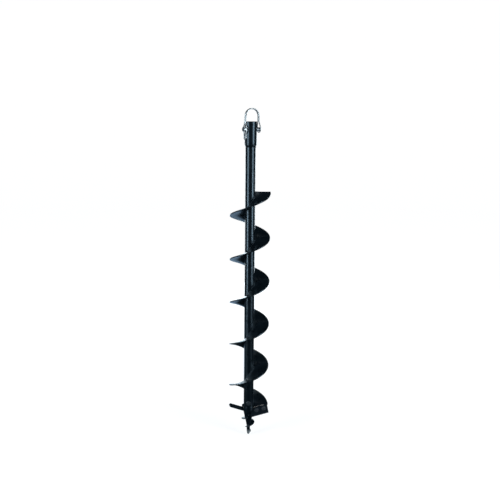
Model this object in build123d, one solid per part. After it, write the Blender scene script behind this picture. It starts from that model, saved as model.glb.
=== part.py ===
from build123d import *
import os
from math import cos, pi, radians, sin, sqrt, tan

# Ice drill bit for a powered drive: a socket with a lock pin on top, one long right-hand
# flight on a tube, and a cutting head with two blades and a screw point.
# Millimetres. The origin is the centre of the socket's mouth, +Z points up and away from
# the tip, and X runs along the lock pin.

# Driving sizes
OVERALL_LENGTH = 800
FLIGHT_DIAMETER = 100
TUBE_DIAMETER = 25
TUBE_WALL = 2.5
WELD_GAP = 0.05  # left round the tube by the pieces that are welded to it
CUTTER = 200  # side of a block that takes away everything on one side of a plane

# Drive socket
SOCKET_DIAMETER = 29.5
SOCKET_LENGTH = 60.3
SOCKET_CHAMFER_HEIGHT = 5.7
SOCKET_EDGE = 0.8
DRIVE_BORE = 20
DRIVE_BORE_DEPTH = 50
DRILL_HALF_ANGLE = 59
BORE_RELIEF_DIAMETER = 22  # the bore is opened out where the lock pin crosses it
BORE_RELIEF_TOP = -12
BORE_RELIEF_BOTTOM = -25
SPIGOT_CLEARANCE = 0.1
SPIGOT_EDGE = 1
SOCKET_SPIGOT_LENGTH = 14

# Lock pin
PIN_DIAMETER = 10
PIN_Z = -18.5
PIN_CLEARANCE = 0.05
PIN_HEAD_DIAMETER = 12.4
PIN_HEAD_INNER_X = -18.2
PIN_HEAD_THICKNESS = 3.3
PIN_HEAD_EDGE = 0.5
PIN_TIP_X = 27.2
PIN_TIP_EDGE = 0.9
PIN_GROOVE_DEPTH = 0.5
PIN_GROOVE_HALF = 1.8

# Bail: one closed loop of round wire, doubled over the mouth
WIRE_DIAMETER = 2.6
BAIL_LEFT_X = -16.55
BAIL_RIGHT_X = 22.3
BAIL_CROWN_LEFT_X = -13.9
BAIL_EYE_X = 23.7
BAIL_CROWN_Z = 29.8
BAIL_FINGER_Z = -42
BAIL_EYE_HALF = 6.9  # half the distance between the wires beside the pin
BAIL_EYE_STRAIGHT = 4  # straight wire above and below the pin's axis
BAIL_FINGER_HALF = 3.9
BAIL_FINGER_TOP = 12  # below the pin's axis
BAIL_STRAND_HALF = 2.2
BAIL_LEFT_SHOULDER = 15  # above the pin's axis, where the two strands come together
BAIL_RIGHT_SHOULDER = 19
BAIL_END_CLEARANCE = 0.1  # keeps the crown's two arcs apart
BAIL_FINGER_BEND = 3
BAIL_EASY_BEND = 8
BAIL_EYE_BEND = 5
BAIL_LOOP_BEND = 6.6

# Flight
FLIGHT_PITCH = 109.5
FLIGHT_SECTIONS = 5
FLIGHT_TOP_Z = -169
FLIGHT_START_ANGLE = -27
SHEET_THICKNESS = 2.6
FLIGHT_RUN_ON = 14
FLIGHT_END_BACK = 2.4  # how far behind the axis the last section is trimmed

# Cutting head
TUBE_END_Z = -720
HUB_SPIGOT_LENGTH = 26
HUB_TAPER_TOP_Z = -738
HUB_END_Z = -750
HUB_END_DIAMETER = 20
HUB_BORE = 12
HUB_BORE_DEPTH = 22
HUB_BOLT_Z = -709
HUB_BOLT_ANGLE = -125
BLADE_WIDTH = 26
BLADE_THICKNESS = 3.5
BLADE_OUTER_REACH = 49.8
BLADE_INNER_REACH = 7
BLADE_OUTER_Z = -723.9  # middle of the blade at its outer end
BLADE_LEAD = 12  # the blade's centre line passes this far ahead of the axis
BLADE_PITCH = 33
BLADE_RISE = 16.5
BLADE_ANGLES = {"right": -35, "left": 145}
BEVEL_LENGTH = 6
EDGE_FLAT = 0.3
SEAT_THICKNESS = 3.5
SEAT_FRONT = -5  # from the blade's centre line, along the blade's own width
SEAT_BACKS = {"right": 16, "left": 13}
SEAT_INNER_REACH = 2
SEAT_OUTER_REACH = 48
SEAT_CORNER_CUT = 5
BLADE_SCREW_REACHES = (22, 40)
BLADE_SCREW_BACK = 3.5
WEB_THICKNESS = 3
WEB_TOP = ((12.5, -718), (20, -718.75), (30, -719.25), (47, -719.65))  # reach, height
LUG_REACH = 17
LUG_TOP_Z = -716.5
LUG_THICKNESS = 3
LUG_CHAMFER = 2

# M6 fasteners
BOLT_DIAMETER = 6
BOLT_HOLE_DIAMETER = 6.4
THREAD_EDGE = 0.7
HEX_ACROSS_FLATS = 10
HEX_CORNER = 0.45
BOLT_HEAD_HEIGHT = 4
NUT_HEIGHT = 5
THREAD_END = 1.8  # bolt end standing out of its nut
COUNTERSUNK_DIAMETER = 11.4
COUNTERSINK_CLEARANCE = 0.1
SCREW_SOCKET_ACROSS_FLATS = 4
SCREW_SOCKET_DEPTH = 1.9

# Screw point
POINT_PITCH = 23.7
POINT_START_ANGLE = 225
POINT_START_Z = -750.4
POINT_TURNS = 1.95
POINT_FLANGE_ROOT = 3  # where the flange starts, inside the core
POINT_FLANGE_THICKNESS = 3.4
POINT_FLANGE_REACH = 20
POINT_RIM_THICKNESS = 1.8
POINT_SHANK_LENGTH = 21.5
POINT_CORE = ((7, 38), (4.6, 25), (4.2, 9), (3.1, 3), (0.9, 0))  # radius, height above the tip
POINT_ENVELOPE = ((17.4, 50), (18, 45), (16.6, 34), (8.4, 21), (7, 10), (5, 4), (1.2, 1))
POINT_PIN_DIAMETER = 4
POINT_PIN_LENGTH = 21
POINT_PIN_EDGE = 0.5
POINT_PIN_Z = -741

TUBE_RADIUS = TUBE_DIAMETER / 2
TUBE_BORE_RADIUS = TUBE_RADIUS - TUBE_WALL
SOCKET_RADIUS = SOCKET_DIAMETER / 2
FLIGHT_RADIUS = FLIGHT_DIAMETER / 2
SPIGOT_RADIUS = TUBE_BORE_RADIUS - SPIGOT_CLEARANCE
WELDED_RADIUS = TUBE_RADIUS + WELD_GAP


def turned(*outline):
    """A solid turned about Z from (radius, height) corners that start and end on the axis."""
    return revolve(Plane.XZ * make_face(Polyline(*outline, close=True)), Axis.Z)


def upright(radius, bottom, top):
    """A vertical cylinder on the axis."""
    return Pos(0, 0, (bottom + top) / 2) * Cylinder(radius, top - bottom)


def hexagon_prism(across_flats, height):
    """A hexagonal prism standing on its origin, with its two ends slightly rounded."""
    prism = extrude(RegularPolygon(across_flats / 2, 6, major_radius=False), height)
    crown = upright(across_flats / sqrt(3), 0, height)
    crown = chamfer(crown.edges().filter_by(GeomType.CIRCLE), HEX_CORNER)
    return prism & crown


def drive_socket():
    spigot_end = -SOCKET_LENGTH - SOCKET_SPIGOT_LENGTH
    body = turned(
        (0, 0),
        (SOCKET_RADIUS - SOCKET_EDGE, 0),
        (SOCKET_RADIUS, -SOCKET_EDGE),
        (SOCKET_RADIUS, SOCKET_CHAMFER_HEIGHT - SOCKET_LENGTH),
        (TUBE_RADIUS, -SOCKET_LENGTH),
        (SPIGOT_RADIUS, -SOCKET_LENGTH),
        (SPIGOT_RADIUS, spigot_end + SPIGOT_EDGE),
        (SPIGOT_RADIUS - SPIGOT_EDGE, spigot_end),
        (0, spigot_end),
    )
    bore = DRIVE_BORE / 2
    relief = BORE_RELIEF_DIAMETER / 2
    drill_point = bore / tan(radians(DRILL_HALF_ANGLE))
    body -= turned(
        (0, 0),
        (bore, 0),
        (bore, BORE_RELIEF_TOP),
        (relief, BORE_RELIEF_TOP + bore - relief),
        (relief, BORE_RELIEF_BOTTOM + relief - bore),
        (bore, BORE_RELIEF_BOTTOM),
        (bore, -DRIVE_BORE_DEPTH),
        (0, -DRIVE_BORE_DEPTH - drill_point),
    )
    hole = Cylinder(PIN_DIAMETER / 2 + PIN_CLEARANCE, 2 * SOCKET_DIAMETER)
    return body - Pos(0, 0, PIN_Z) * Rot(0, 90, 0) * hole


def main_tube():
    tube = upright(TUBE_RADIUS, TUBE_END_Z, -SOCKET_LENGTH)
    tube -= upright(TUBE_BORE_RADIUS, TUBE_END_Z - 1, -SOCKET_LENGTH + 1)
    return tube - hub_bolt_hole()


def lock_pin():
    """A headed pin with a groove that the bail's right eye drops into."""
    radius = PIN_DIAMETER / 2
    head = PIN_HEAD_DIAMETER / 2
    head_end = PIN_HEAD_INNER_X - PIN_HEAD_THICKNESS
    floor = radius - PIN_GROOVE_DEPTH
    groove_start = BAIL_EYE_X - PIN_GROOVE_HALF
    groove_end = BAIL_EYE_X + PIN_GROOVE_HALF
    pin = turned(
        (0, head_end),
        (head - PIN_HEAD_EDGE, head_end),
        (head, head_end + PIN_HEAD_EDGE),
        (head, PIN_HEAD_INNER_X - PIN_HEAD_EDGE),
        (head - PIN_HEAD_EDGE, PIN_HEAD_INNER_X),
        (radius, PIN_HEAD_INNER_X),
        (radius, groove_start),
        (floor, groove_start + PIN_GROOVE_DEPTH),
        (floor, groove_end - PIN_GROOVE_DEPTH),
        (radius, groove_end),
        (radius, PIN_TIP_X - PIN_TIP_EDGE),
        (radius - PIN_TIP_EDGE, PIN_TIP_X),
        (0, PIN_TIP_X),
    )
    return Pos(0, 0, PIN_Z) * Rot(0, 90, 0) * pin


def bail():
    """Half of the wire loop from the finger end, over the mouth, to the eye, and its mirror image."""
    corners = [
        (BAIL_LEFT_X, 0, BAIL_FINGER_Z),
        (BAIL_LEFT_X, BAIL_FINGER_HALF, BAIL_FINGER_Z),
        (BAIL_LEFT_X, BAIL_FINGER_HALF, PIN_Z - BAIL_FINGER_TOP),
        (BAIL_LEFT_X, BAIL_EYE_HALF, PIN_Z - BAIL_EYE_STRAIGHT),
        (BAIL_LEFT_X, BAIL_EYE_HALF, PIN_Z + BAIL_EYE_STRAIGHT),
        (BAIL_LEFT_X, BAIL_STRAND_HALF, PIN_Z + BAIL_LEFT_SHOULDER),
        (BAIL_CROWN_LEFT_X, BAIL_STRAND_HALF, BAIL_CROWN_Z),
        (BAIL_RIGHT_X, BAIL_STRAND_HALF, BAIL_CROWN_Z),
        (BAIL_RIGHT_X, BAIL_STRAND_HALF, PIN_Z + BAIL_RIGHT_SHOULDER),
        (BAIL_EYE_X, BAIL_EYE_HALF, PIN_Z + BAIL_EYE_STRAIGHT),
        (BAIL_EYE_X, BAIL_EYE_HALF, PIN_Z - BAIL_EYE_HALF),
        (BAIL_EYE_X, 0, PIN_Z - BAIL_EYE_HALF),
    ]
    crown_radius = (BAIL_RIGHT_X - BAIL_CROWN_LEFT_X) / 2 - BAIL_END_CLEARANCE
    radii = [
        BAIL_FINGER_BEND,
        BAIL_EASY_BEND,
        BAIL_EYE_BEND,
        BAIL_EYE_BEND,
        BAIL_EASY_BEND,
        crown_radius,
        crown_radius,
        BAIL_EASY_BEND,
        BAIL_EASY_BEND,
        BAIL_LOOP_BEND,
    ]
    path = FilletPolyline(*corners, radius=radii)
    section = Plane(origin=corners[0], z_dir=(0, 1, 0)) * Circle(WIRE_DIAMETER / 2)
    half = sweep(section, path=path)
    return half + mirror(half, about=Plane.XZ)


def sheet_half_height(radius):
    """Half the height of helical sheet at a radius, where its true thickness is constant."""
    return SHEET_THICKNESS / 2 * sqrt(1 + (FLIGHT_PITCH / (2 * pi * radius)) ** 2)


def flight_piece(top_z, turn):
    """A stretch of flight that starts at a height and winds down through an angle in degrees."""
    radii = (WELDED_RADIUS, sqrt(WELDED_RADIUS * FLIGHT_RADIUS), FLIGHT_RADIUS)
    upper = [(radius, sheet_half_height(radius)) for radius in radii]
    lower = [(radius, -height) for radius, height in reversed(upper)]
    outline = [
        ThreePointArc(*upper),
        Line(upper[-1], lower[0]),
        ThreePointArc(*lower),
        Line(lower[-1], upper[0]),
    ]
    height = FLIGHT_PITCH * turn / 360
    path = Helix(FLIGHT_PITCH, height, FLIGHT_RADIUS)
    piece = sweep(Plane.XZ * make_face(outline), path=path, is_frenet=True)
    return Pos(0, 0, top_z - height) * Rot(0, 0, FLIGHT_START_ANGLE - turn) * piece


def last_flight_section(top_z):
    """The lowest turn runs on a little and is trimmed straight, along the back of the right blade."""
    align = (Align.MIN, Align.MAX, Align.CENTER)
    trim = Box(FLIGHT_DIAMETER, FLIGHT_DIAMETER, FLIGHT_PITCH / 3, align=align)
    trim = Rot(0, 0, BLADE_ANGLES["right"]) * Pos(0, FLIGHT_END_BACK, TUBE_END_Z) * trim
    return flight_piece(top_z, 360 + FLIGHT_RUN_ON) - trim


def flight_sections():
    sections = {}
    for number in range(1, FLIGHT_SECTIONS + 1):
        top_z = FLIGHT_TOP_Z - (number - 1) * FLIGHT_PITCH
        last = number == FLIGHT_SECTIONS
        section = last_flight_section(top_z) if last else flight_piece(top_z, 360)
        sections[f"flight_section_{number}"] = section
    return sections


def hub_bolt_place():
    """The hub bolt's axis, facing out of its head."""
    return Pos(0, 0, HUB_BOLT_Z) * Rot(0, 0, HUB_BOLT_ANGLE) * Rot(0, 90, 0)


def hub_bolt_hole():
    return hub_bolt_place() * Cylinder(BOLT_HOLE_DIAMETER / 2, 2 * TUBE_DIAMETER)


def hub_bolt():
    end = -(WELDED_RADIUS + NUT_HEIGHT + THREAD_END)
    shank = upright(BOLT_DIAMETER / 2, end, WELDED_RADIUS)
    shank = chamfer(shank.edges().filter_by(GeomType.CIRCLE).sort_by(Axis.Z)[0], THREAD_EDGE)
    head = Pos(0, 0, WELDED_RADIUS) * hexagon_prism(HEX_ACROSS_FLATS, BOLT_HEAD_HEIGHT)
    return hub_bolt_place() * (shank + head)


def hub_bolt_nut():
    nut = hexagon_prism(HEX_ACROSS_FLATS, NUT_HEIGHT)
    nut -= Cylinder(BOLT_DIAMETER / 2 + WELD_GAP, 3 * NUT_HEIGHT)
    return hub_bolt_place() * Pos(0, 0, -WELDED_RADIUS - NUT_HEIGHT) * nut


def blade_hub():
    spigot_top = TUBE_END_Z + HUB_SPIGOT_LENGTH
    hub = turned(
        (0, spigot_top),
        (SPIGOT_RADIUS - SPIGOT_EDGE, spigot_top),
        (SPIGOT_RADIUS, spigot_top - SPIGOT_EDGE),
        (SPIGOT_RADIUS, TUBE_END_Z),
        (TUBE_RADIUS, TUBE_END_Z),
        (TUBE_RADIUS, HUB_TAPER_TOP_Z),
        (HUB_END_DIAMETER / 2, HUB_END_Z),
        (0, HUB_END_Z),
    )
    hub -= hub_bolt_hole()
    hub -= upright(HUB_BORE / 2, HUB_END_Z - HUB_BORE, HUB_END_Z + HUB_BORE_DEPTH)
    return hub - point_pin_hole()


def blade_plane(side):
    """The blade's own plane: x outwards, y backwards from the edge, z up from its middle."""
    angle = radians(BLADE_ANGLES[side])
    outward = Vector(cos(angle), sin(angle), 0)
    forward = Vector(sin(angle), -cos(angle), 0)
    up = Vector(0, 0, 1)
    rise = radians(BLADE_RISE)
    pitch = radians(BLADE_PITCH)
    along = outward * cos(rise) + up * sin(rise)
    flat_normal = up * cos(rise) - outward * sin(rise)
    normal = forward * sin(pitch) + flat_normal * cos(pitch)
    root_z = BLADE_OUTER_Z - BLADE_OUTER_REACH * tan(rise)
    return Plane(origin=forward * BLADE_LEAD + up * root_z, x_dir=along, z_dir=normal)


def reach_on_blade(reach):
    """Distance along the sloping blade for a distance out from the axis."""
    return reach / cos(radians(BLADE_RISE))


def blade_screw_places():
    return [Pos(reach_on_blade(reach), BLADE_SCREW_BACK, 0) for reach in BLADE_SCREW_REACHES]


def countersink_cone(clearance):
    """The cone of a countersunk head, flush with the blade's upper face."""
    radius = COUNTERSUNK_DIAMETER / 2 + clearance
    depth = radius - BOLT_DIAMETER / 2
    cone = Cone(BOLT_DIAMETER / 2, radius, depth, align=(Align.CENTER, Align.CENTER, Align.MAX))
    return Pos(0, 0, BLADE_THICKNESS / 2) * cone


def hub_clearance():
    """The hub and the tube's end with the weld gap round them."""
    return upright(WELDED_RADIUS, -OVERALL_LENGTH, FLIGHT_TOP_Z)


def blade(side):
    """A cutting blade, bevelled underneath along its leading edge."""
    half = BLADE_THICKNESS / 2
    front = -BLADE_WIDTH / 2
    back = BLADE_WIDTH / 2
    section = Polyline(
        (back, -half),
        (back, half),
        (front, half),
        (front, half - EDGE_FLAT),
        (front + BEVEL_LENGTH, -half),
        close=True,
    )
    inner = reach_on_blade(BLADE_INNER_REACH)
    length = reach_on_blade(BLADE_OUTER_REACH) - inner
    end = Plane(origin=(inner, 0, 0), x_dir=(0, 1, 0), z_dir=(1, 0, 0))
    plate = extrude(end * make_face(section), length)
    for place in blade_screw_places():
        plate -= place * Cylinder(BOLT_HOLE_DIAMETER / 2, 4 * BLADE_THICKNESS)
        plate -= place * countersink_cone(COUNTERSINK_CLEARANCE)
    return blade_plane(side) * plate - hub_clearance()


def blade_seat(side):
    """The arm under a blade, welded to the hub and tapped for the blade's screws."""
    inner = reach_on_blade(SEAT_INNER_REACH)
    outer = reach_on_blade(SEAT_OUTER_REACH)
    width = SEAT_BACKS[side] - SEAT_FRONT
    plate = Box(outer - inner, width, SEAT_THICKNESS)
    front_corner = plate.edges().filter_by(Axis.Z).sort_by(Axis.X)[-2:].sort_by(Axis.Y)[0]
    plate = chamfer(front_corner, SEAT_CORNER_CUT)
    middle_z = -(BLADE_THICKNESS + SEAT_THICKNESS) / 2
    plate = Pos((inner + outer) / 2, SEAT_FRONT + width / 2, middle_z) * plate
    for place in blade_screw_places():
        plate -= place * Cylinder(BOLT_DIAMETER / 2 + WELD_GAP, 6 * BLADE_THICKNESS)
    return blade_plane(side) * plate - hub_clearance()


def blade_screws(side):
    top = BLADE_THICKNESS / 2
    bottom = -top - SEAT_THICKNESS
    shank = upright(BOLT_DIAMETER / 2, bottom, top)
    shank = chamfer(shank.edges().filter_by(GeomType.CIRCLE).sort_by(Axis.Z)[0], THREAD_EDGE)
    screw = shank + countersink_cone(clearance=0)
    socket = RegularPolygon(SCREW_SOCKET_ACROSS_FLATS / 2, 6, major_radius=False)
    screw -= Pos(0, 0, top - SCREW_SOCKET_DEPTH) * extrude(socket, 2 * SCREW_SOCKET_DEPTH)
    return [blade_plane(side) * place * screw for place in blade_screw_places()]


def below(side, height):
    """Everything under a plane parallel to a blade, at a height over the blade's middle."""
    block = Box(CUTTER, CUTTER, CUTTER, align=(Align.CENTER, Align.CENTER, Align.MAX))
    return blade_plane(side) * Pos(0, 0, height) * block


def flight_end_web():
    """An upright web under the flight's lower end, standing on the right blade's seat."""
    inner, outer = WEB_TOP[0], WEB_TOP[-1]
    outline = Polyline((0, HUB_END_Z), (0, inner[1]), *WEB_TOP, (outer[0], HUB_END_Z), close=True)
    web = extrude(Plane.XZ * make_face(outline), -WEB_THICKNESS)
    web = Rot(0, 0, BLADE_ANGLES["right"]) * Pos(0, FLIGHT_END_BACK, 0) * web
    return web - below("right", -BLADE_THICKNESS / 2) - hub_clearance()


def left_heel_lug():
    """A small upright lug on the hub that bears on the heel of the left blade."""
    inner = WELDED_RADIUS - 1
    corners = [
        (inner, LUG_TOP_Z),
        (LUG_REACH - LUG_CHAMFER, LUG_TOP_Z),
        (LUG_REACH, LUG_TOP_Z - LUG_CHAMFER),
        (LUG_REACH, HUB_TAPER_TOP_Z),
        (inner, HUB_TAPER_TOP_Z),
    ]
    lug = extrude(Plane.XZ * make_face(Polyline(*corners, close=True)), LUG_THICKNESS / 2, both=True)
    lug = Rot(0, 0, BLADE_ANGLES["left"]) * lug
    return lug - below("left", BLADE_THICKNESS / 2) - hub_clearance()


def point_pin_place():
    return Pos(0, 0, POINT_PIN_Z) * Rot(0, 0, HUB_BOLT_ANGLE) * Rot(0, 90, 0)


def point_pin_hole():
    return point_pin_place() * Cylinder(POINT_PIN_DIAMETER / 2 + WELD_GAP, 2 * TUBE_DIAMETER)


def point_pin():
    pin = Cylinder(POINT_PIN_DIAMETER / 2, POINT_PIN_LENGTH)
    pin = chamfer(pin.edges().filter_by(GeomType.CIRCLE), POINT_PIN_EDGE)
    return point_pin_place() * pin


def above_tip(*outline):
    """(radius, height above the tip) corners as (radius, height) corners."""
    return [(radius, height - OVERALL_LENGTH) for radius, height in outline]


def point_flange():
    """The screw point's right-hand flange, at its full reach all the way down."""
    height = POINT_PITCH * POINT_TURNS
    outline = Polyline(
        (POINT_FLANGE_ROOT, POINT_FLANGE_THICKNESS / 2),
        (POINT_FLANGE_REACH, POINT_RIM_THICKNESS / 2),
        (POINT_FLANGE_REACH, -POINT_RIM_THICKNESS / 2),
        (POINT_FLANGE_ROOT, -POINT_FLANGE_THICKNESS / 2),
        close=True,
    )
    path = Helix(POINT_PITCH, height, POINT_FLANGE_REACH / 2)
    flange = sweep(Plane.XZ * make_face(outline), path=path, is_frenet=True)
    bottom_angle = POINT_START_ANGLE - 360 * POINT_TURNS
    return Pos(0, 0, POINT_START_Z - height) * Rot(0, 0, bottom_angle) * flange


def pilot_point():
    """The screw point: a shank in the hub, a slender core and a tapering right-hand flange."""
    shank = HUB_BORE / 2 - WELD_GAP
    shank_top = HUB_END_Z + POINT_SHANK_LENGTH
    core = turned(
        (0, shank_top),
        (shank, shank_top),
        (shank, HUB_END_Z),
        (HUB_END_DIAMETER / 2, HUB_END_Z),
        *above_tip(*POINT_CORE),
        (0, -OVERALL_LENGTH),
    )
    top, bottom = POINT_ENVELOPE[0][1], POINT_ENVELOPE[-1][1]
    envelope = turned(*above_tip((0, top), *POINT_ENVELOPE, (0, bottom)))
    return core + (point_flange() & envelope) - point_pin_hole()


def all_nodes():
    nodes = {
        "drive_socket": drive_socket(),
        "lock_pin": lock_pin(),
        "bail": bail(),
        "main_tube": main_tube(),
        **flight_sections(),
        "blade_hub": blade_hub(),
        "hub_bolt": hub_bolt(),
        "hub_bolt_nut": hub_bolt_nut(),
        "pilot_point": pilot_point(),
        "pilot_pin": point_pin(),
        "flight_end_web": flight_end_web(),
        "left_heel_lug": left_heel_lug(),
    }
    for side in BLADE_ANGLES:
        nodes[f"{side}_blade"] = blade(side)
        nodes[f"{side}_blade_seat"] = blade_seat(side)
        nodes[f"{side}_blade_screws"] = Compound(blade_screws(side))
    return nodes


os.makedirs("parts", exist_ok=True)
for name, shape in all_nodes().items():
    export_step(shape, f"parts/{name}.step")
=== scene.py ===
from math import asin, cos, pi, radians, sin, sqrt, tan

import bmesh
import bpy
import numpy as np
from mathutils import Matrix, Vector, noise


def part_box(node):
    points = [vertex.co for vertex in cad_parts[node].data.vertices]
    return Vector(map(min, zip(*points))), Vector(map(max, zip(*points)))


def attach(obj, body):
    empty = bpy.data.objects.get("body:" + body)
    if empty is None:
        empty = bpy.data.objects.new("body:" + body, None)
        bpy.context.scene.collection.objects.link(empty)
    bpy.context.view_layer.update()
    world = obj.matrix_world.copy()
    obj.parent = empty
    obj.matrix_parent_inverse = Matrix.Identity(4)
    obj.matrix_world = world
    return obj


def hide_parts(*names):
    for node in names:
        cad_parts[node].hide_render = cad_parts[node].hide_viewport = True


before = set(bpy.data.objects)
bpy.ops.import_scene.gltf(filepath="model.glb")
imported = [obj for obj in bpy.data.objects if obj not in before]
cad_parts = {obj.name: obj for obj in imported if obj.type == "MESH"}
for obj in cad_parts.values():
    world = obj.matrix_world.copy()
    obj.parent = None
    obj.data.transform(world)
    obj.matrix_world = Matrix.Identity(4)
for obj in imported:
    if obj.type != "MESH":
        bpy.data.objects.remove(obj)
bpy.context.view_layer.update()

# An ice drill bit: socket, lock pin and wire bail on top, a tube with a right-hand flight,
# and a cutting head with two blades and a screw point. Metres; +Z points away from the tip
# and X runs along the lock pin.
MM = 0.001

# Sizes that the frame gives
TUBE_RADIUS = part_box("main_tube")[1].x
TUBE_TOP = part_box("main_tube")[1].z
TUBE_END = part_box("main_tube")[0].z
SOCKET_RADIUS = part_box("drive_socket")[1].y
FLIGHT_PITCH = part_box("flight_section_1")[1].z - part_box("flight_section_2")[1].z
TIP_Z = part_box("pilot_point")[0].z
HUB_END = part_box("blade_hub")[0].z

# Eased edges
SHARP_EDGE = radians(32)

# Socket
BORE_REACH = 11.4 * MM  # takes in the relief round the cross hole
BORE_END_Z = -56 * MM
PIN_Z = -18.5 * MM
PIN_HOLE_REACH = 5.2 * MM
PIN_HOLE_PAINTED_X = SOCKET_RADIUS - 0.75 * MM  # beyond this the cross hole's wall is painted

# Flight
FLIGHT_RADIUS = 50 * MM
FLIGHT_TOP = -169 * MM
FLIGHT_START = radians(-27)
FLIGHT_SECTIONS = 5
FLIGHT_END_BACK = 2.4 * MM  # the last turn stops this far behind the right blade's radial line
SHEET = 2.6 * MM
RIM_ROUND = 0.45 * MM
RIM_TURN = radians(20)  # where the rim's rounding starts
RIPPLE = 0.22 * MM

# Weld beads
WELD_LAP = 2.3 * MM
WELD_STAND_OFF = 0.3 * MM  # how far a bead's middle stands off the sheet or the hub
STITCH = radians(75)
STITCH_STEP = radians(115)

# Hub
HUB_TAPER_TOP = -738 * MM
HUB_END_RADIUS = 10 * MM

# Blades
BLADE_ANGLES = {"right": radians(-35), "left": radians(145)}
BLADE_PITCH = radians(33)
BLADE_RISE = radians(16.5)
BLADE_LEAD = 12 * MM
BLADE_OUTER_REACH = 49.8 * MM
BLADE_OUTER_Z = -723.9 * MM
BLADE_WIDTH = 26 * MM
BLADE_THICKNESS = 3.5 * MM
SEAT_THICKNESS = 3.5 * MM
SEAT_FRONT = -5 * MM
SEAT_BACKS = {"right": 16 * MM, "left": 13 * MM}

# Bail
WIRE_RADIUS = 1.3 * MM
WIRE_STEP = 0.35 * MM  # between points along the wire
BAIL_LEFT_X = -16.55 * MM
BAIL_CROWN_LEFT_X = -13.9 * MM
BAIL_RIGHT_X = 22.3 * MM
BAIL_EYE_X = 23.7 * MM
BAIL_CROWN_Z = 29.8 * MM
BAIL_FINGER_Z = -42 * MM
BAIL_FINGER_TOP_Z = PIN_Z - 12 * MM
BAIL_EYE_HALF = 6.9 * MM  # half the distance between the wires beside the pin
BAIL_EYE_STRAIGHT = 4 * MM  # straight wire above and below the pin's axis
BAIL_FINGER_HALF = 3.9 * MM
BAIL_STRAND_HALF = 2.2 * MM
BAIL_LEFT_SHOULDER_Z = PIN_Z + 15 * MM  # where the two strands come together
BAIL_RIGHT_SHOULDER_Z = PIN_Z + 19 * MM
BAIL_FINGER_BEND = 3 * MM
BAIL_EASY_BEND = 8 * MM
BAIL_EYE_BEND = 5 * MM
BAIL_LOOP_BEND = 6.6 * MM
BAIL_CROWN_BEND = (BAIL_RIGHT_X - BAIL_CROWN_LEFT_X) / 2 - 0.1 * MM

# Screw point, its outlines as heights above the tip and radii in millimetres
POINT_PITCH = 23.7 * MM
POINT_START = radians(225)
POINT_START_Z = -750.4 * MM
POINT_TURNS = 1.95
POINT_CORE = [(50, 10), (38, 7), (25, 4.6), (9, 4.2), (3, 3.1), (0, 0.9)]
POINT_ENVELOPE = [(50, 17.4), (45, 18), (34, 16.6), (21, 8.4), (10, 7), (4, 5), (1, 1.2)]
FLANGE_SUNK = 0.6 * MM  # how far the flange starts inside the core
FLANGE_ROOT_HALF = 1.55 * MM
FLANGE_EDGE_HALF = 0.85 * MM
FLANGE_FADE_IN = radians(28)
FLANGE_FADE_OUT = radians(45)
SMALLEST_RADIUS = 0.2 * MM

# Camera, level with the socket and looking a little down
CAMERA_AZIMUTH = radians(-35)
CAMERA_DISTANCE = 1.5926
CAMERA_HEIGHT = -0.0098
CAMERA_PITCH = 0.18739
CAMERA_YAW = -0.00034
CAMERA_ROLL = 0.00834
CAMERA_LENS = 47.25

# Studio
FLOOR_Z = TIP_Z - 0.002
FLAT_RADIUS = 5.0
CURVE_RADIUS = 2.0
WALL_TOP = 7.0
CEILING = 9.0
COOL_LIGHT = (0.78, 0.92, 1.0)
BLUE_LIGHT = (0.48, 0.72, 1.0)
OBJECT_MIDDLE = (0, 0, -0.4)

# Colours
PAINT_DARK = (0.0009, 0.0022, 0.0036)
PAINT_LIGHT = (0.0026, 0.0046, 0.0068)
PAINT_DUST = (0.007, 0.009, 0.011)
PAINT_GLOSS = {"Specular IOR Level": 0.5, "Specular Tint": (0.68, 0.86, 1.0, 1.0)}
STEEL_DARK = (0.47, 0.485, 0.5)
STEEL_LIGHT = (1, 1.01, 1.02)
STAIN = (0.60, 0.57, 0.50)
RUBBED_OXIDE = (0.42, 0.44, 0.46)


# ---------------------------------------------------------------- materials

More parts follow.
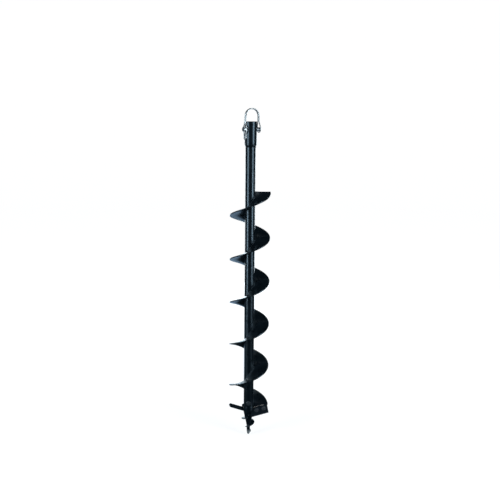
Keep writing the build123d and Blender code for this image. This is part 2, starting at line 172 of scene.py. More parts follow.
class Finish:
    """One material's node tree, with short calls for what the finishes here share."""

    def __init__(self, name):
        self.material = bpy.data.materials.new(name)
        self.material.use_nodes = True
        self.tree = self.material.node_tree
        self.tree.nodes.clear()
        output = self.tree.nodes.new("ShaderNodeOutputMaterial")
        self.shader = self.tree.nodes.new("ShaderNodeBsdfPrincipled")
        self.tree.links.new(self.shader.outputs[0], output.inputs["Surface"])
        coordinates = self.tree.nodes.new("ShaderNodeTexCoord")
        self.position = coordinates.outputs["Object"]
        self.height = None

    def link(self, source, target):
        self.tree.links.new(source, target)

    def fixed(self, values):
        """Uniform values, set on the shader's own sockets."""
        for name, value in values.items():
            self.shader.inputs[name].default_value = value

    def noise(self, scale, detail, stretch=None):
        """A grey noise over the object, drawn out along an axis where stretch is below 1."""
        texture = self.tree.nodes.new("ShaderNodeTexNoise")
        texture.inputs["Scale"].default_value = scale
        texture.inputs["Detail"].default_value = detail
        source = self.position
        if stretch:
            mapping = self.tree.nodes.new("ShaderNodeMapping")
            mapping.inputs["Scale"].default_value = stretch
            self.link(self.position, mapping.inputs["Vector"])
            source = mapping.outputs[0]
        self.link(source, texture.inputs["Vector"])
        return texture.outputs["Fac"]

    def attribute(self, name):
        """A number that the mesh carries at each point, 0 where it has none."""
        node = self.tree.nodes.new("ShaderNodeAttribute")
        node.attribute_name = name
        return node.outputs["Fac"]

    def math(self, operation, a, b=0.0):
        node = self.tree.nodes.new("ShaderNodeMath")
        node.operation = operation
        for socket, value in zip(node.inputs, (a, b)):
            if isinstance(value, (int, float)):
                socket.default_value = value
            else:
                self.link(value, socket)
        return node.outputs[0]

    def remap(self, value, low, high, out_low=0.0, out_high=1.0):
        node = self.tree.nodes.new("ShaderNodeMapRange")
        node.interpolation_type = "SMOOTHSTEP"
        limits = {"From Min": low, "From Max": high, "To Min": out_low, "To Max": out_high}
        for name, number in limits.items():
            node.inputs[name].default_value = number
        self.link(value, node.inputs["Value"])
        return node.outputs["Result"]

    def mix(self, factor, first, second):
        node = self.tree.nodes.new("ShaderNodeMix")
        node.data_type = "RGBA"
        self.link(factor, node.inputs["Factor"])
        for socket, value in ((node.inputs["A"], first), (node.inputs["B"], second)):
            if isinstance(value, tuple):
                socket.default_value = (*value, 1.0)
            else:
                self.link(value, socket)
        return node.outputs["Result"]

    def set(self, name, source):
        self.link(source, self.shader.inputs[name])

    def bump(self, height, strength, distance):
        node = self.tree.nodes.new("ShaderNodeBump")
        node.inputs["Strength"].default_value = strength
        node.inputs["Distance"].default_value = distance
        self.link(height, node.inputs["Height"])
        if self.height is not None:
            self.link(self.height, node.inputs["Normal"])
        self.height = node.outputs[0]
        self.link(self.height, self.shader.inputs["Normal"])

    def radius(self):
        """Distance from the bit's axis."""
        split = self.tree.nodes.new("ShaderNodeSeparateXYZ")
        self.link(self.position, split.inputs[0])
        squares = [self.math("MULTIPLY", split.outputs[i], split.outputs[i]) for i in (0, 1)]
        return self.math("SQRT", self.math("ADD", *squares))

    def z(self):
        split = self.tree.nodes.new("ShaderNodeSeparateXYZ")
        self.link(self.position, split.inputs[0])
        return split.outputs[2]


def scaled(colour, share):
    return tuple(part * share for part in colour)


def paint_over_steel(name, wear, chip_grain=900, bright=0.34, metallic=0.85):
    """Semi-gloss black paint on steel. wear, given the finish, says where the steel shows, from 0 to 1."""
    finish = Finish(name)
    clouds = finish.remap(finish.noise(38, 5), 0.3, 0.72)
    colour = finish.mix(clouds, PAINT_DARK, PAINT_LIGHT)
    dust = finish.remap(finish.noise(260, 8), 0.62, 0.8, 0.0, 0.35)
    colour = finish.mix(dust, colour, PAINT_DUST)
    chips = finish.noise(chip_grain, 6)
    bare = finish.remap(finish.math("ADD", chips, wear(finish)), 0.94, 1.02)
    scuffs = finish.noise(240, 3, stretch=(1, 1, 0.12))
    steel = finish.mix(scuffs, scaled(STEEL_DARK, bright), scaled(STEEL_LIGHT, bright))
    finish.set("Base Color", finish.mix(bare, colour, steel))
    finish.set("Metallic", finish.math("MULTIPLY", bare, metallic))
    gloss = finish.remap(finish.noise(75, 4), 0.25, 0.75, 0.26, 0.33)
    finish.set("Roughness", finish.math("ADD", gloss, finish.math("MULTIPLY", bare, 0.12)))
    finish.bump(finish.noise(420, 2), 0.1, 0.1 * MM)
    finish.bump(finish.math("SUBTRACT", 1.0, bare), 0.35, 0.06 * MM)
    finish.fixed(PAINT_GLOSS)
    return finish.material


def edges_worn(finish, share):
    """Wear along the bevels, as a share of full wear."""
    return finish.math("MULTIPLY", finish.attribute("wear"), share)


def black_paint():
    """The paint on the tube, the socket and the head, chipped a little along the edges."""
    return paint_over_steel("black_paint", lambda finish: edges_worn(finish, 0.34))


def flight_paint():
    """The paint on the flight, rubbed through in small spots along the rim."""
    def rim_wear(finish):
        return finish.remap(finish.radius(), FLIGHT_RADIUS - 1.1 * MM, FLIGHT_RADIUS, 0.0, 0.36)

    return paint_over_steel("flight_paint", rim_wear)


def blade_paint():
    """Painted blade, rubbed bare along its cutting edge."""
    def edge_wear(finish):
        edge = finish.remap(finish.attribute("from_edge"), 0.0, 2.2 * MM, 0.55, 0.0)
        return finish.math("ADD", edge, edges_worn(finish, 0.25))

    return paint_over_steel("blade_paint", edge_wear, chip_grain=1300)


def point_finish():
    """Painted screw point, rubbed down to grey metal towards its tip."""
    def tip_wear(finish):
        tip = finish.remap(finish.z(), TIP_Z + 25 * MM, TIP_Z + 3 * MM, 0.0, 0.8)
        return finish.math("ADD", tip, edges_worn(finish, 0.28))

    return paint_over_steel("point_finish", tip_wear, chip_grain=1200, bright=0.36, metallic=0.5)


def bright_steel(name, dark, bright, stretch, tint=STAIN, rough=(0.2, 0.36)):
    """Plated or bare steel with fine scratches and faint stains."""
    finish = Finish(name)
    scratches = finish.noise(900, 4, stretch=stretch)
    colour = finish.mix(scratches, dark, bright)
    stains = finish.remap(finish.noise(160, 5), 0.56, 0.78, 0.0, 0.5)
    finish.set("Base Color", finish.mix(stains, colour, tint))
    finish.set("Roughness", finish.remap(finish.noise(300, 5), 0.25, 0.75, *rough))
    finish.bump(scratches, 0.12, 0.03 * MM)
    finish.fixed({"Metallic": 0.95})
    return finish.material


def dark_oxide():
    """The blackened screws, bolt, nut and pin, rubbed to steel along their edges."""
    finish = Finish("dark_oxide")
    grain = finish.noise(700, 5)
    oxide = finish.mix(grain, (0.026, 0.031, 0.038), (0.075, 0.084, 0.095))
    rubbed = finish.remap(finish.math("ADD", finish.attribute("wear"), finish.noise(900, 4)), 0.85, 1.25)
    finish.set("Base Color", finish.mix(rubbed, oxide, RUBBED_OXIDE))
    finish.set("Metallic", finish.remap(rubbed, 0.0, 1.0, 0.6, 0.95))
    finish.set("Roughness", finish.remap(grain, 0.2, 0.8, 0.3, 0.5))
    finish.bump(grain, 0.2, 0.05 * MM)
    return finish.material


def floor_finish():
    """White, a little darker near the object so that its soft shadow shows."""
    finish = Finish("pale_floor")
    finish.set("Base Color", finish.mix(finish.noise(3, 3), (0.24, 0.245, 0.25), (0.28, 0.28, 0.28)))
    finish.set("Emission Strength", finish.remap(finish.radius(), 0.1, 1.8, 0.86, 0.985))
    finish.fixed({"Roughness": 0.9, "Specular IOR Level": 0.0, "Emission Color": (1, 1, 1, 1)})
    return finish.material


FINISHES = {
    "black_paint": black_paint(),
    "flight_paint": flight_paint(),
    "blade_paint": blade_paint(),
    "point_finish": point_finish(),
    "bore_steel": bright_steel(
        "bore_steel", (0.2, 0.2, 0.2), (0.36, 0.36, 0.355), stretch=(1, 1, 6), tint=(0.16, 0.13, 0.1),
    ),
    "pin_plating": bright_steel(
        "pin_plating", (0.5, 0.52, 0.55), (0.78, 0.8, 0.82), stretch=(8, 1, 1),
    ),
    "wire_plating": bright_steel(
        "wire_plating", (0.34, 0.35, 0.36), (0.56, 0.57, 0.58), stretch=(1, 1, 0.2), rough=(0.3, 0.44),
    ),
    "dark_oxide": dark_oxide(),
}


# ---------------------------------------------------------------- mesh helpers

def finished(piece, body, slot, *finishes):
    """Gives a piece its materials and its body; the slot it is given is not used."""
    piece.data.materials.clear()
    for name in finishes:
        piece.data.materials.append(FINISHES[name])
    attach(piece, body)
    return piece


def shade(mesh, sharp_degrees=35):
    mesh.polygons.foreach_set("use_smooth", [True] * len(mesh.polygons))
    mesh.set_sharp_from_angle(angle=radians(sharp_degrees))


def mesh_piece(name, points, faces, sharp_degrees=35):
    mesh = bpy.data.meshes.new(name)
    mesh.from_pydata([tuple(p) for p in points], [], faces)
    mesh.update()
    shade(mesh, sharp_degrees)
    piece = bpy.data.objects.new(name, mesh)
    bpy.context.scene.collection.objects.link(piece)
    return piece


def skin(rings, closed_path=False):
    """Points and quads of a surface through rings of equal length, capped unless the path is closed."""
    count, sides = rings.shape[:2]
    points = rings.reshape(-1, 3)
    faces = []
    for i in range(count if closed_path else count - 1):
        a, b = i * sides, (i + 1) % count * sides
        for j in range(sides):
            k = (j + 1) % sides
            faces.append((a + j, a + k, b + k, b + j))
    if not closed_path:
        faces.append(tuple(reversed(range(sides))))
        faces.append(tuple((count - 1) * sides + j for j in range(sides)))
    return points, faces


def outward(piece):
    """Turns a closed mesh's faces to look outwards."""
    work = bmesh.new()
    work.from_mesh(piece.data)
    bmesh.ops.recalc_face_normals(work, faces=work.faces)
    work.to_mesh(piece.data)
    work.free()
    return piece


def mark(piece, name, values):
    """Gives each point of a piece a number that its finish can read."""
    attribute = piece.data.attributes.new(name, "FLOAT", "POINT")
    attribute.data.foreach_set("value", np.asarray(values, np.float32))


def unworn(piece):
    mark(piece, "wear", [0.0] * len(piece.data.vertices))


def sweep(name, path, radii, sides, closed=False):
    """A round bar along a line of points, its radius given at each point."""
    path = np.asarray(path, float)
    if closed:
        tangents = np.roll(path, -1, 0) - np.roll(path, 1, 0)
    else:
        tangents = np.gradient(path, axis=0)
    tangents /= np.linalg.norm(tangents, axis=1)[:, None]
    across = np.cross(tangents[0], (0, 0, 1))
    if np.linalg.norm(across) < 0.1:
        across = np.cross(tangents[0], (0, 1, 0))
    frames = []
    for tangent in tangents:
        across = across - tangent * (across @ tangent)
        across /= np.linalg.norm(across)
        frames.append((across, np.cross(tangent, across)))
    turns = 2 * pi * np.arange(sides) / sides
    rings = np.array([
        [point + radius * (cos(t) * a + sin(t) * b) for t in turns]
        for point, radius, (a, b) in zip(path, radii, frames)
    ])
    return outward(mesh_piece(name, *skin(rings, closed)))


def softened(node, width):
    """A copy of a CAD node with its sharp edges rounded over, to stand in the node's place."""
    piece = bpy.data.objects.new(f"{node}_finished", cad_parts[node].data.copy())
    bpy.context.scene.collection.objects.link(piece)
    work = bmesh.new()
    work.from_mesh(piece.data)
    bmesh.ops.remove_doubles(work, verts=work.verts, dist=2e-6)
    bmesh.ops.dissolve_limit(work, angle_limit=radians(0.7), verts=work.verts, edges=work.edges)
    layer = work.verts.layers.float.new("wear")
    edges = [
        edge for edge in work.edges
        if len(edge.link_faces) == 2 and edge.calc_face_angle(0) > SHARP_EDGE
        and edge.calc_length() > 0.2 * width
    ]
    made = bmesh.ops.bevel(
        work, geom=edges, offset=width, segments=2, profile=0.6, affect="EDGES",
        clamp_overlap=True, offset_type="OFFSET",
    )
    # The wear sits on the middle of each bevel, so that it fades out before the flat faces.
    rounded = set(made["faces"])
    for face in rounded:
        for vertex in face.verts:
            vertex[layer] = float(all(beside in rounded for beside in vertex.link_faces))
    work.to_mesh(piece.data)
    work.free()
    for name in [a.name for a in piece.data.attributes if a.name.startswith("UVMap")]:
        piece.data.attributes.remove(piece.data.attributes[name])
    shade(piece.data, 40)
    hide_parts(node)
    return piece


def lathe(name, profile, segments):
    """A closed solid turned about Z from (radius, height) points that start and end off the axis."""
    turns = 2 * pi * np.arange(segments) / segments
    rings = np.array([[(r * cos(t), r * sin(t), z) for t in turns] for r, z in profile])
    return outward(mesh_piece(name, *skin(rings)))


# ---------------------------------------------------------------- flight

def flight_height(angle):
    """Height of the flight's middle surface at an angle, counted back from its top end."""
    return FLIGHT_TOP + FLIGHT_PITCH * (angle - FLIGHT_START) / (2 * pi)


def sheet_half_height(radius):
    return SHEET / 2 * sqrt(1 + (FLIGHT_PITCH / (2 * pi * radius)) ** 2)


def ripple(angle, radius):
    """The faint waves that cold forming leaves in the sheet, fading out at the tube."""
    place = Vector((2.2 * angle, 60 * radius, 0.0))
    reach = (radius - TUBE_RADIUS) / (FLIGHT_RADIUS - TUBE_RADIUS)
    return RIPPLE * reach * (noise.noise(place) + 0.4 * noise.noise(place * 2.7))


def sheet_outline():
    """(radius, share of the half height) round the sheet's section, its rim rounded over."""
    inner = TUBE_RADIUS + 0.05 * MM
    rim_start = FLIGHT_RADIUS - RIM_ROUND
    radii = list(np.linspace(inner, rim_start, 12))
    rim = []
    for turn in np.linspace(RIM_TURN, pi - RIM_TURN, 6):
        rim.append((rim_start + RIM_ROUND * sin(turn), 0.62 * cos(turn) / cos(RIM_TURN)))
    return [(r, 1.0) for r in radii] + rim + [(r, -1.0) for r in reversed(radii)]


def flight_sheet(number):
    """One turn of the flight, the last one trimmed along the back of the right blade."""
    top = FLIGHT_START - (number - 1) * 2 * pi
    bottom = top - 2 * pi
    last = number == FLIGHT_SECTIONS
    rings = []
    for share in np.linspace(0, 1, 145):
        ring = []
        for radius, side in sheet_outline():
            end = bottom
            if last:
                end = BLADE_ANGLES["right"] + asin(FLIGHT_END_BACK / radius) - FLIGHT_SECTIONS * 2 * pi
            angle = end + (top - end) * share
            z = flight_height(angle) + side * sheet_half_height(radius) + ripple(angle, radius)
            ring.append((radius * cos(angle), radius * sin(angle), z))
        rings.append(ring)
    node = f"flight_section_{number}"
    piece = outward(mesh_piece(f"{node}_sheet", *skin(np.array(rings)), sharp_degrees=50))
    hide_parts(node)
    return finished(piece, "root", "black_paint", "flight_paint")


# ---------------------------------------------------------------- weld beads

def bead(name, path, radius, seed):
    """A weld bead along a line: overlapping laps, a little uneven, tapering at its ends."""
    path = np.asarray(path, float)
    steps = np.linalg.norm(np.diff(path, axis=0), axis=1)
    along = np.concatenate([[0], np.cumsum(steps)])
    count = max(8, int(along[-1] / (WELD_LAP / 5)))
    at = np.linspace(0, along[-1], count)
    path = np.stack([np.interp(at, along, path[:, i]) for i in range(3)], 1)
    radii = []
    for s in at:
        uneven = noise.noise(Vector((s * 160, seed * 3.7, 0.0)))
        phase = (s / WELD_LAP + 0.35 * uneven) % 1.0
        lapped = 0.86 + 0.2 * phase * (1.6 - phase) + 0.1 * uneven
        end = min(s, along[-1] - s) / (1.5 * radius)
        radii.append(radius * lapped * min(1.0, 0.35 + end) ** 0.5)
    piece = sweep(name, path, radii, sides=10)
    unworn(piece)
    return finished(piece, "root", "black_paint", "black_paint")


def helix(side, start, end):
    """A line round the tube along the sheet's upper (1) or lower (-1) surface, between two angles."""
    radius = TUBE_RADIUS + 0.5 * MM
    angles = np.linspace(start, end, max(12, int(abs(end - start) * 12)))
    middle = side * (sheet_half_height(TUBE_RADIUS) + WELD_STAND_OFF)
    return [(radius * cos(a), radius * sin(a), flight_height(a) + middle) for a in angles]


def flight_beads():
    """One run of weld on top of the flight all the way, and stitches underneath."""
    bottom = FLIGHT_START - FLIGHT_SECTIONS * 2 * pi
    run = helix(1, bottom + radians(4), FLIGHT_START - radians(2))
    bead("flight_weld_top", run, 1.5 * MM, seed=1)
    start = FLIGHT_START - radians(6)
    number = 0
    while start - STITCH > bottom:
        number += 1
        line = helix(-1, start - STITCH, start)
        bead(f"flight_stitch_{number:02d}", line, 1.4 * MM, seed=10 + number)
        start -= STITCH_STEP


def joint_beads():
    """Low beads across the butt joints between turns, above and below the sheet."""
    for joint in range(1, FLIGHT_SECTIONS):
        angle = FLIGHT_START - joint * 2 * pi
        for side, word in ((1, "upper"), (-1, "lower")):
            line = []
            for radius in np.linspace(TUBE_RADIUS + 1.5 * MM, FLIGHT_RADIUS - 1.2 * MM, 30):
                z = flight_height(angle) + side * (sheet_half_height(radius) - 0.5 * MM)
                line.append((radius * cos(angle), radius * sin(angle), z))
            bead(f"flight_joint_{joint}_{word}", line, 1.0 * MM, seed=40 + joint * 2 + side)


def ring_line(radius, z):
    return [(radius * cos(t), radius * sin(t), z) for t in np.linspace(0, 2 * pi, 90)]


# ---------------------------------------------------------------- cutting head

def blade_frame(side):
    """Blade axes: x outwards, y backwards from the edge, z up from the middle of its thickness."""
    angle = BLADE_ANGLES[side]
    out = Vector((cos(angle), sin(angle), 0))
    forward = Vector((sin(angle), -cos(angle), 0))
    up = Vector((0, 0, 1))
    along = out * cos(BLADE_RISE) + up * sin(BLADE_RISE)
    flat = up * cos(BLADE_RISE) - out * sin(BLADE_RISE)
    normal = forward * sin(BLADE_PITCH) + flat * cos(BLADE_PITCH)
    back = normal.cross(along)
    origin = forward * BLADE_LEAD + up * (BLADE_OUTER_Z - BLADE_OUTER_REACH * tan(BLADE_RISE))
    turn = Matrix((along, back, normal)).transposed().to_4x4()
    return Matrix.Translation(origin) @ turn


def hub_radius(z):
    """The hub's radius at a height: the tube's down to its taper, then less towards the screw point."""
    return float(np.interp(z, (HUB_END, HUB_TAPER_TOP), (HUB_END_RADIUS, TUBE_RADIUS)))


def hub_seam(side, height, start, end, stand_off):
    """The line where a plane parallel to a blade meets the hub, between two distances back."""
    place = blade_frame(side)
    normal = place.to_3x3().col[2]
    point = place @ Vector((0, 0, height))
    line = []
    for turn in np.linspace(-pi / 2, pi / 2, 181):
        angle = BLADE_ANGLES[side] + turn
        z = point.z
        for _ in range(6):
            radius = hub_radius(z) + stand_off
            x, y = radius * cos(angle), radius * sin(angle)
            z = point.z - (normal.x * (x - point.x) + normal.y * (y - point.y)) / normal.z
        local = place.inverted() @ Vector((x, y, z))
        if start <= local.y <= end:
            line.append((x, y, z))
    return line


def head_beads():
    """A bead along the underside of each blade seat, where it meets the hub."""
    under = -BLADE_THICKNESS / 2 - SEAT_THICKNESS
    for number, side in enumerate(BLADE_ANGLES):
        line = hub_seam(side, under - 0.2 * MM, SEAT_FRONT, SEAT_BACKS[side], WELD_STAND_OFF)
        bead(f"{side}_seat_weld_under", line, 1.4 * MM, seed=60 + number)


def upright_bead(name, side, back, stand_off, top, bottom, radius, seed):
    """A bead down the tube, a distance behind a blade's radial line."""
    turn = Matrix.Rotation(BLADE_ANGLES[side], 3, "Z")
    reach = sqrt((TUBE_RADIUS + stand_off) ** 2 - back ** 2)
    ends = [turn @ Vector((reach, back, z)) for z in (top, bottom)]
    bead(name, np.linspace(ends[0], ends[1], 12), radius, seed)


def web_beads():
    """Beads down both sides of the web under the flight's end, and of the heel lug."""
    low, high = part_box("flight_end_web")
    for number, back in enumerate((FLIGHT_END_BACK - 0.1 * MM, FLIGHT_END_BACK + 3.1 * MM)):
        upright_bead(
            f"web_weld_{number + 1}", "right", back, stand_off=0.6 * MM,
            top=high.z - 1.2 * MM, bottom=low.z + 5 * MM, radius=1.0 * MM, seed=70 + number,
        )
    low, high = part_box("left_heel_lug")
    for number, back in enumerate((-1.7 * MM, 1.7 * MM)):
        upright_bead(
            f"lug_weld_{number + 1}", "left", back, stand_off=0.4 * MM,
            top=high.z - 0.6 * MM, bottom=low.z + 4 * MM, radius=0.9 * MM, seed=74 + number,
        )


def blade_piece(side):
    """A blade with eased edges, which knows how far behind its cutting edge each point lies."""
    piece = softened(f"{side}_blade", 0.3 * MM)
    to_blade = blade_frame(side).inverted()
    mark(piece, "from_edge", [(to_blade @ v.co).y + BLADE_WIDTH / 2 for v in piece.data.vertices])
    return finished(piece, "root", "blade_paint", "blade_paint")


# ---------------------------------------------------------------- screw point

def outline_radius(outline, z):
    """An outline's radius at a height."""
    heights, radii = zip(*reversed(outline))
    return float(np.interp((z - TIP_Z) / MM, heights, radii)) * MM


def point_core():
    """The forged core, a little uneven, no wider than the hub above it."""
    profile = []
    for z in np.linspace(HUB_END, TIP_Z, 60):
        uneven = 0.06 * MM * noise.noise(Vector((z * 400, 2, 0)))
        radius = outline_radius(POINT_CORE, z) + uneven
        profile.append((max(0.3 * MM, min(radius, HUB_END_RADIUS)), z))
    piece = lathe("point_core", profile, 64)
    unworn(piece)
    return finished(piece, "root", "point_steel", "point_finish")


def point_flange():
    """The tapering screw flange, growing out of the core at both ends."""
    rings, wear = [], []
    total = POINT_TURNS * 2 * pi
    for share in np.linspace(0, 1, 150):
        turned = total * share
        angle = POINT_START - turned
        z = POINT_START_Z - POINT_PITCH * turned / (2 * pi)
        core = outline_radius(POINT_CORE, z) - FLANGE_SUNK
        grow = min(1.0, turned / FLANGE_FADE_IN, (total - turned) / FLANGE_FADE_OUT) ** 0.6
        rim = core + (outline_radius(POINT_ENVELOPE, z) - core) * grow
        root, edge = FLANGE_ROOT_HALF, FLANGE_EDGE_HALF
        upper = [(core, root), ((core + rim) / 2, (root + edge) / 2), (rim - 0.7 * MM, edge),
                 (rim - 0.15 * MM, 0.5 * edge)]
        lower = [(radius, -height) for radius, height in reversed(upper)]
        section = [(max(r, SMALLEST_RADIUS), height) for r, height in upper + [(rim, 0.0)] + lower]
        rings.append([(r * cos(angle), r * sin(angle), z + height) for r, height in section])
        wear += [0.0, 0.1, 0.5, 1.0, 1.0, 1.0, 0.5, 0.1, 0.0]
    piece = outward(mesh_piece("point_flange", *skin(np.array(rings)), sharp_degrees=60))
    mark(piece, "wear", wear)
    return finished(piece, "root", "point_steel", "point_finish")


# ---------------------------------------------------------------- tube, socket, pin and bail

def tube_piece():
    """The tube, rolled very slightly out of round along its length."""
    segments = 128
    heights = np.linspace(TUBE_TOP, TUBE_END, 150)
    rings = []
    for z in heights:
        ring = []
        for t in 2 * pi * np.arange(segments) / segments:
            dent = noise.noise(Vector((1.3 * cos(t), 1.3 * sin(t), z * 14)))
            radius = TUBE_RADIUS - 0.05 * MM + 0.05 * MM * dent
            ring.append((radius * cos(t), radius * sin(t), z))
        rings.append(ring)
    piece = outward(mesh_piece("main_tube_finished", *skin(np.array(rings))))
    unworn(piece)
    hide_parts("main_tube")
    return finished(piece, "root", "black_paint", "black_paint")


def socket_piece():
    """The socket, painted outside and bare in its bore."""
    piece = softened("drive_socket", 0.35 * MM)
    finished(piece, "root", "black_paint", "black_paint", "bore_steel")
    for face in piece.data.polygons:
        centre = face.center
        in_bore = Vector(centre.xy).length < BORE_REACH and centre.z > BORE_END_Z
        off_axis = max(abs(centre.z - PIN_Z), abs(centre.y))
        in_pin_hole = off_axis < PIN_HOLE_REACH and abs(centre.x) < PIN_HOLE_PAINTED_X
        face.material_index = 1 if in_bore or in_pin_hole else 0
    return piece


def rounded_path(corners, radii):
    """Straight runs through corners, with arcs of the given radii at the inner corners."""
    corners = [Vector(c) for c in corners]
    path = [corners[0]]
    for i, radius in enumerate(radii, 1):
        here = corners[i]
        back, on = (corners[i - 1] - here).normalized(), (corners[i + 1] - here).normalized()
        half = back.angle(on) / 2
        centre = here + (back + on).normalized() * (radius / sin(half))
        first, last = here + back * (radius / tan(half)), here + on * (radius / tan(half))
        normal = (first - centre).cross(last - centre)
        sweep_angle = (first - centre).angle(last - centre)
        for t in np.linspace(0, sweep_angle, max(4, int(radius * sweep_angle / WIRE_STEP))):
            path.append(centre + Matrix.Rotation(t, 3, normal) @ (first - centre))
    path.append(corners[-1])
    dense = [path[0]]
    for point in path[1:]:
        start = dense[-1]
        parts = max(1, int((point - start).length / WIRE_STEP))
        for part in range(1, parts + 1):
            dense.append(start.lerp(point, part / parts))
    return dense


def bail_piece():
    """The wire bail: one loop, closed by a small butt weld at its finger end."""
    eye_top, eye_bottom = PIN_Z + BAIL_EYE_STRAIGHT, PIN_Z - BAIL_EYE_STRAIGHT
    loop_bottom = PIN_Z - BAIL_EYE_HALF
    corners = [
        (BAIL_LEFT_X, 0, BAIL_FINGER_Z),
        (BAIL_LEFT_X, BAIL_FINGER_HALF, BAIL_FINGER_Z),
        (BAIL_LEFT_X, BAIL_FINGER_HALF, BAIL_FINGER_TOP_Z),
        (BAIL_LEFT_X, BAIL_EYE_HALF, eye_bottom),
        (BAIL_LEFT_X, BAIL_EYE_HALF, eye_top),
        (BAIL_LEFT_X, BAIL_STRAND_HALF, BAIL_LEFT_SHOULDER_Z),
        (BAIL_CROWN_LEFT_X, BAIL_STRAND_HALF, BAIL_CROWN_Z),
        (BAIL_RIGHT_X, BAIL_STRAND_HALF, BAIL_CROWN_Z),
        (BAIL_RIGHT_X, BAIL_STRAND_HALF, BAIL_RIGHT_SHOULDER_Z),
        (BAIL_EYE_X, BAIL_EYE_HALF, eye_top),
        (BAIL_EYE_X, BAIL_EYE_HALF, loop_bottom),
        (BAIL_EYE_X, 0, loop_bottom),
    ]
    bends = [
        BAIL_FINGER_BEND, BAIL_EASY_BEND, BAIL_EYE_BEND, BAIL_EYE_BEND, BAIL_EASY_BEND,
        BAIL_CROWN_BEND, BAIL_CROWN_BEND, BAIL_EASY_BEND, BAIL_EASY_BEND, BAIL_LOOP_BEND,
    ]
    half = rounded_path(corners, bends)
    other = [Vector((p.x, -p.y, p.z)) for p in reversed(half[1:-1])]
    path = np.array([tuple(p) for p in half + other])
    for _ in range(12):
        path = (np.roll(path, 1, 0) + 2 * path + np.roll(path, -1, 0)) / 4
    near_weld = np.linalg.norm(path - path[0], axis=1)
    radii = WIRE_RADIUS * (0.985 + 0.1 * np.exp(-((near_weld / (0.9 * MM)) ** 2)))
    piece = sweep("bail_wire", path, radii, sides=18, closed=True)
    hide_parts("bail")
    return finished(piece, "bail", "spring_wire", "wire_plating")


# ---------------------------------------------------------------- making the object

def make_object():
    socket_piece()
    tube_piece()
    for number in range(1, FLIGHT_SECTIONS + 1):
        flight_sheet(number)
    flight_beads()
    joint_beads()
    bead("socket_weld", ring_line(TUBE_RADIUS, TUBE_TOP - 0.2 * MM), 0.75 * MM, seed=80)
    head_beads()
    web_beads()
    for side in BLADE_ANGLES:
        blade_piece(side)
        finished(softened(f"{side}_blade_seat", 0.3 * MM), "root", "black_paint", "black_paint")
        finished(softened(f"{side}_blade_screws", 0.12 * MM), "root", "dark_fasteners", "dark_oxide")
    for node in ("flight_end_web", "left_heel_lug"):
        finished(softened(node, 0.25 * MM), "root", "black_paint", "black_paint")
    finished(softened("blade_hub", 0.35 * MM), "root", "black_paint", "black_paint")
    for node in ("hub_bolt", "hub_bolt_nut", "pilot_pin"):
        finished(softened(node, 0.2 * MM), "root", "dark_fasteners", "dark_oxide")
    core = point_core()
    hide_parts("pilot_point")
    point_flange()
    finished(softened("lock_pin", 0.2 * MM), "lock_pin", "plated_pin", "pin_plating")
    bail_piece()


# ---------------------------------------------------------------- floor, light and camera

def only_for_camera(thing):
    """Keeps the white studio out of the object's reflections, which come from the lamps alone."""
    thing.visible_diffuse = False
    thing.visible_glossy = False
    thing.visible_transmission = False
    thing.visible_shadow = False


def make_floor():
    """A round pale floor that curves up into a wall and a ceiling of the same colour."""
    centre_radius = 0.02
    profile = [(centre_radius, FLOOR_Z), (1.5, FLOOR_Z), (FLAT_RADIUS, FLOOR_Z)]
    for turn in np.linspace(0.2, pi / 2, 8):
        profile.append((FLAT_RADIUS + CURVE_RADIUS * sin(turn), FLOOR_Z + CURVE_RADIUS * (1 - cos(turn))))
    profile.append((FLAT_RADIUS + CURVE_RADIUS, FLOOR_Z + WALL_TOP))
    profile.append((centre_radius, FLOOR_Z + CEILING))
    floor = lathe("floor", profile, 96)
    floor.data.flip_normals()
    floor.data.materials.append(floor_finish())
    only_for_camera(floor)


def soft_box(name, azimuth, distance, height, size, power, target, colour=(1, 1, 1)):
    """A rectangular lamp. Its azimuth and its target are measured from the camera's azimuth."""
    light = bpy.data.lights.new(name, "AREA")
    light.shape = "RECTANGLE"
    light.size, light.size_y = size
    light.energy = power
    light.color = colour
    lamp = bpy.data.objects.new(name, light)
    turn = Matrix.Rotation(CAMERA_AZIMUTH, 4, "Z")
    lamp.location = turn @ Vector((distance * sin(azimuth), -distance * cos(azimuth), height))
    aim = turn @ Vector(target) - lamp.location
    lamp.rotation_mode = "QUATERNION"
    lamp.rotation_quaternion = aim.to_track_quat("-Z", "Y")
    lamp.visible_camera = False
    bpy.context.scene.collection.objects.link(lamp)


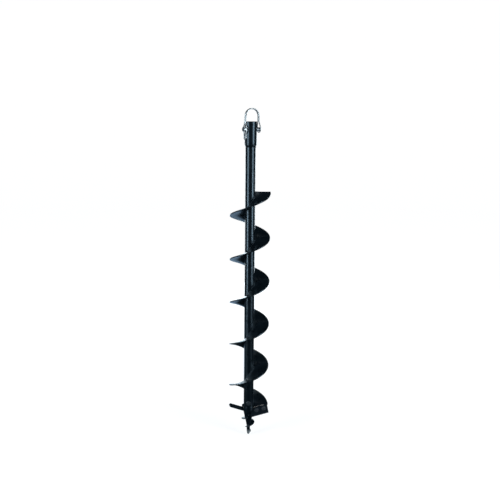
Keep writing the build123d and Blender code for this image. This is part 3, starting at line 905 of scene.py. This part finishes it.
def make_lights():
    """Tall strips mirrored down the tube, low boxes behind for the flights, and a weak lamp from above."""
    soft_box("left_strip", radians(-55), 1.7, 0.0, (0.5, 1.7), 33, (0, 0, 0.0), COOL_LIGHT)
    soft_box("right_strip", radians(56), 1.7, 0.05, (0.5, 1.6), 30, (0, 0, 0.05), COOL_LIGHT)
    soft_box("left_back_box", radians(-150), 1.7, -0.45, (0.5, 0.7), 5, OBJECT_MIDDLE, COOL_LIGHT)
    soft_box("right_back_box", radians(150), 1.7, -0.45, (0.5, 0.7), 7, OBJECT_MIDDLE, COOL_LIGHT)
    soft_box("back_box", radians(180), 1.7, -0.45, (0.6, 0.7), 7, OBJECT_MIDDLE, COOL_LIGHT)
    soft_box("floor_bounce", radians(180), 0.78, FLOOR_Z + 0.01, (1.6, 0.55), 2.7, (0, 0.78, 0.5), BLUE_LIGHT)
    soft_box("overhead", radians(10), 0.6, 2.2, (1.6, 1.6), 11, OBJECT_MIDDLE)


def make_world():
    """A very faint blue light from everywhere."""
    world = bpy.data.worlds.new("studio")
    bpy.context.scene.world = world
    world.use_nodes = True
    room = world.node_tree.nodes["Background"]
    room.inputs["Color"].default_value = (0.4, 0.75, 1.0, 1)
    room.inputs["Strength"].default_value = 0.035


def make_camera():
    """The camera is pitched, yawed and rolled about its own axes, then turned round the bit."""
    camera = bpy.data.cameras.new("camera")
    camera.lens = CAMERA_LENS
    camera.sensor_width = 36
    camera.clip_start, camera.clip_end = 0.05, 60
    holder = bpy.data.objects.new("camera", camera)
    bpy.context.scene.collection.objects.link(holder)
    right = Vector((1, 0, 0))
    ahead = Vector((0, cos(CAMERA_PITCH), -sin(CAMERA_PITCH)))
    up = Vector((0, sin(CAMERA_PITCH), cos(CAMERA_PITCH)))
    right, ahead = (right * cos(CAMERA_YAW) + ahead * sin(CAMERA_YAW),
                    ahead * cos(CAMERA_YAW) - right * sin(CAMERA_YAW))
    right, up = (right * cos(CAMERA_ROLL) + up * sin(CAMERA_ROLL),
                 up * cos(CAMERA_ROLL) - right * sin(CAMERA_ROLL))
    pose = Matrix((right, up, -ahead)).transposed().to_4x4()
    place = Matrix.Translation((0, -CAMERA_DISTANCE, CAMERA_HEIGHT)) @ pose
    holder.matrix_world = Matrix.Rotation(CAMERA_AZIMUTH, 4, "Z") @ place
    bpy.context.scene.camera = holder


bpy.context.scene.view_settings.view_transform = "Standard"
make_camera()
make_object()
make_floor()
make_lights()
make_world()
